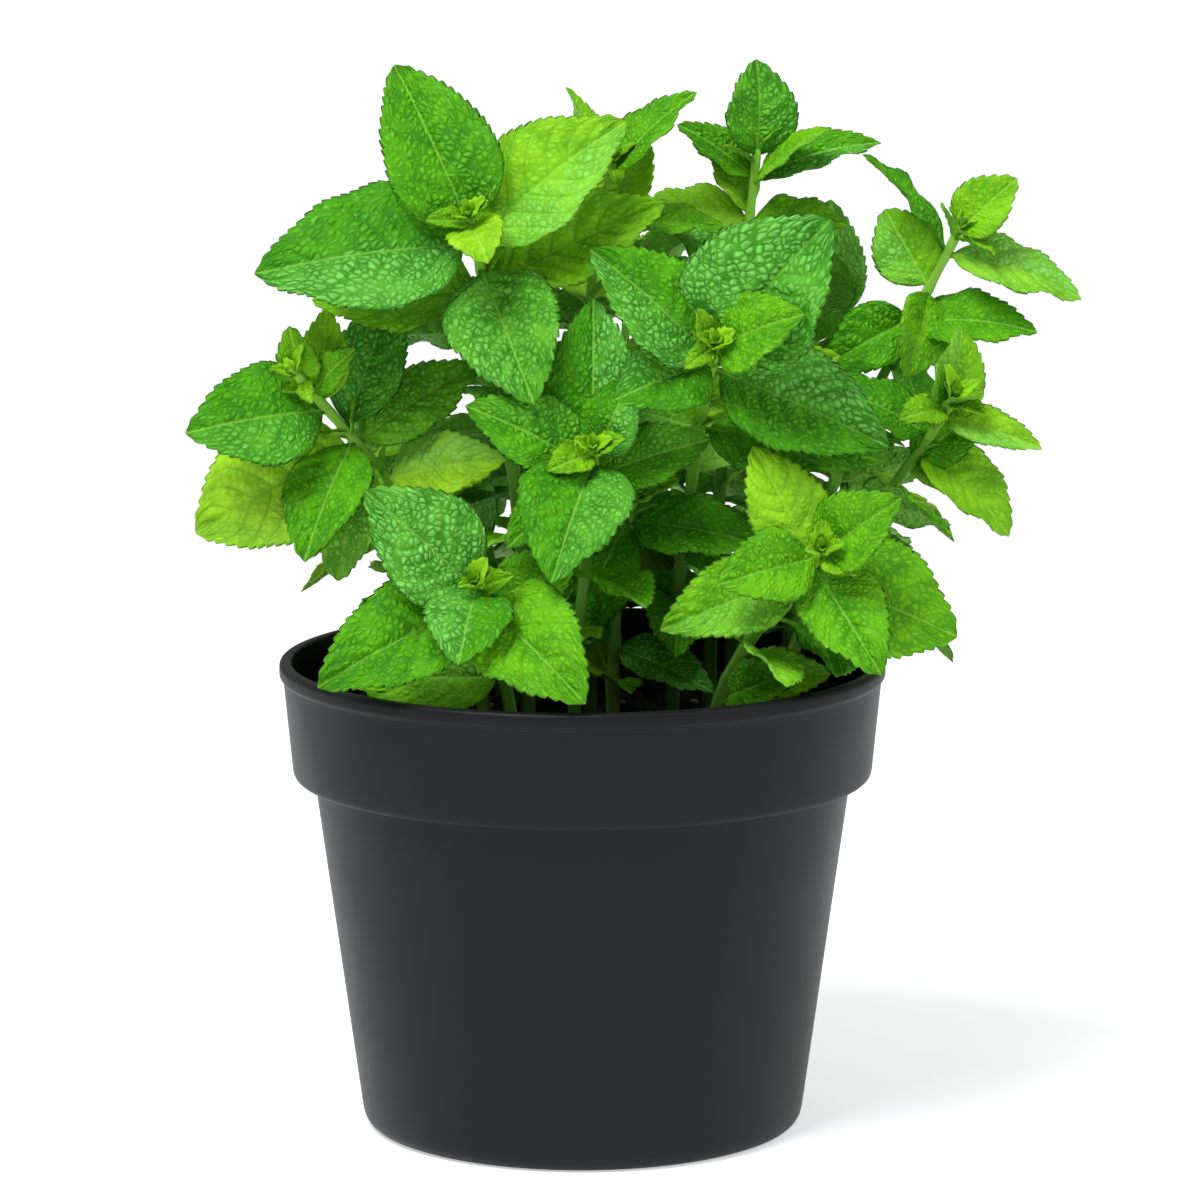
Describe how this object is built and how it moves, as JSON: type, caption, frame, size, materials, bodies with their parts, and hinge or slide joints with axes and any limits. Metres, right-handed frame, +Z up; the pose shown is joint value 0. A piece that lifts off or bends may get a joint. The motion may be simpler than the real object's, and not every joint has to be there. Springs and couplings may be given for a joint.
{
  "type": "potted mint plant",
  "caption": "Bushy mint plant with square stems and toothed leaves, growing in soil in a round tapered plastic pot with a banded rim.",
  "frame": {"origin": "centre of the pot's flat underside, on the surface that it stands on", "axes": "+Z up along the pot's axis, -Y towards the plant's front, +X to the right as seen from the front"},
  "size_m": [0.2339, 0.1827, 0.2827],
  "materials": {
    "pot_plastic": "satin, injection moulded",
    "potting_soil": null,
    "foliage": null
  },
  "bodies": {
    "root": {"pot": "pot_plastic", "soil": "potting_soil", "shoot_top_left": "foliage", "shoot_left": "foliage", "shoot_centre": "foliage", "shoot_top_back": "foliage", "shoot_top_right": "foliage", "shoot_right": "foliage", "shoot_front_right": "foliage", "shoot_front_left": "foliage", "shoot_middle": "foliage", "shoot_top": "foliage", "shoot_low_centre": "foliage", "shoot_back_left_high": "foliage", "shoot_back_middle_high": "foliage", "shoot_back_right_high": "foliage", "shoot_back_left": "foliage", "shoot_back_right": "foliage", "shoot_back_low_left": "foliage", "shoot_back_low_middle": "foliage", "shoot_back_low_right": "foliage"}
  },
  "joints": []
}
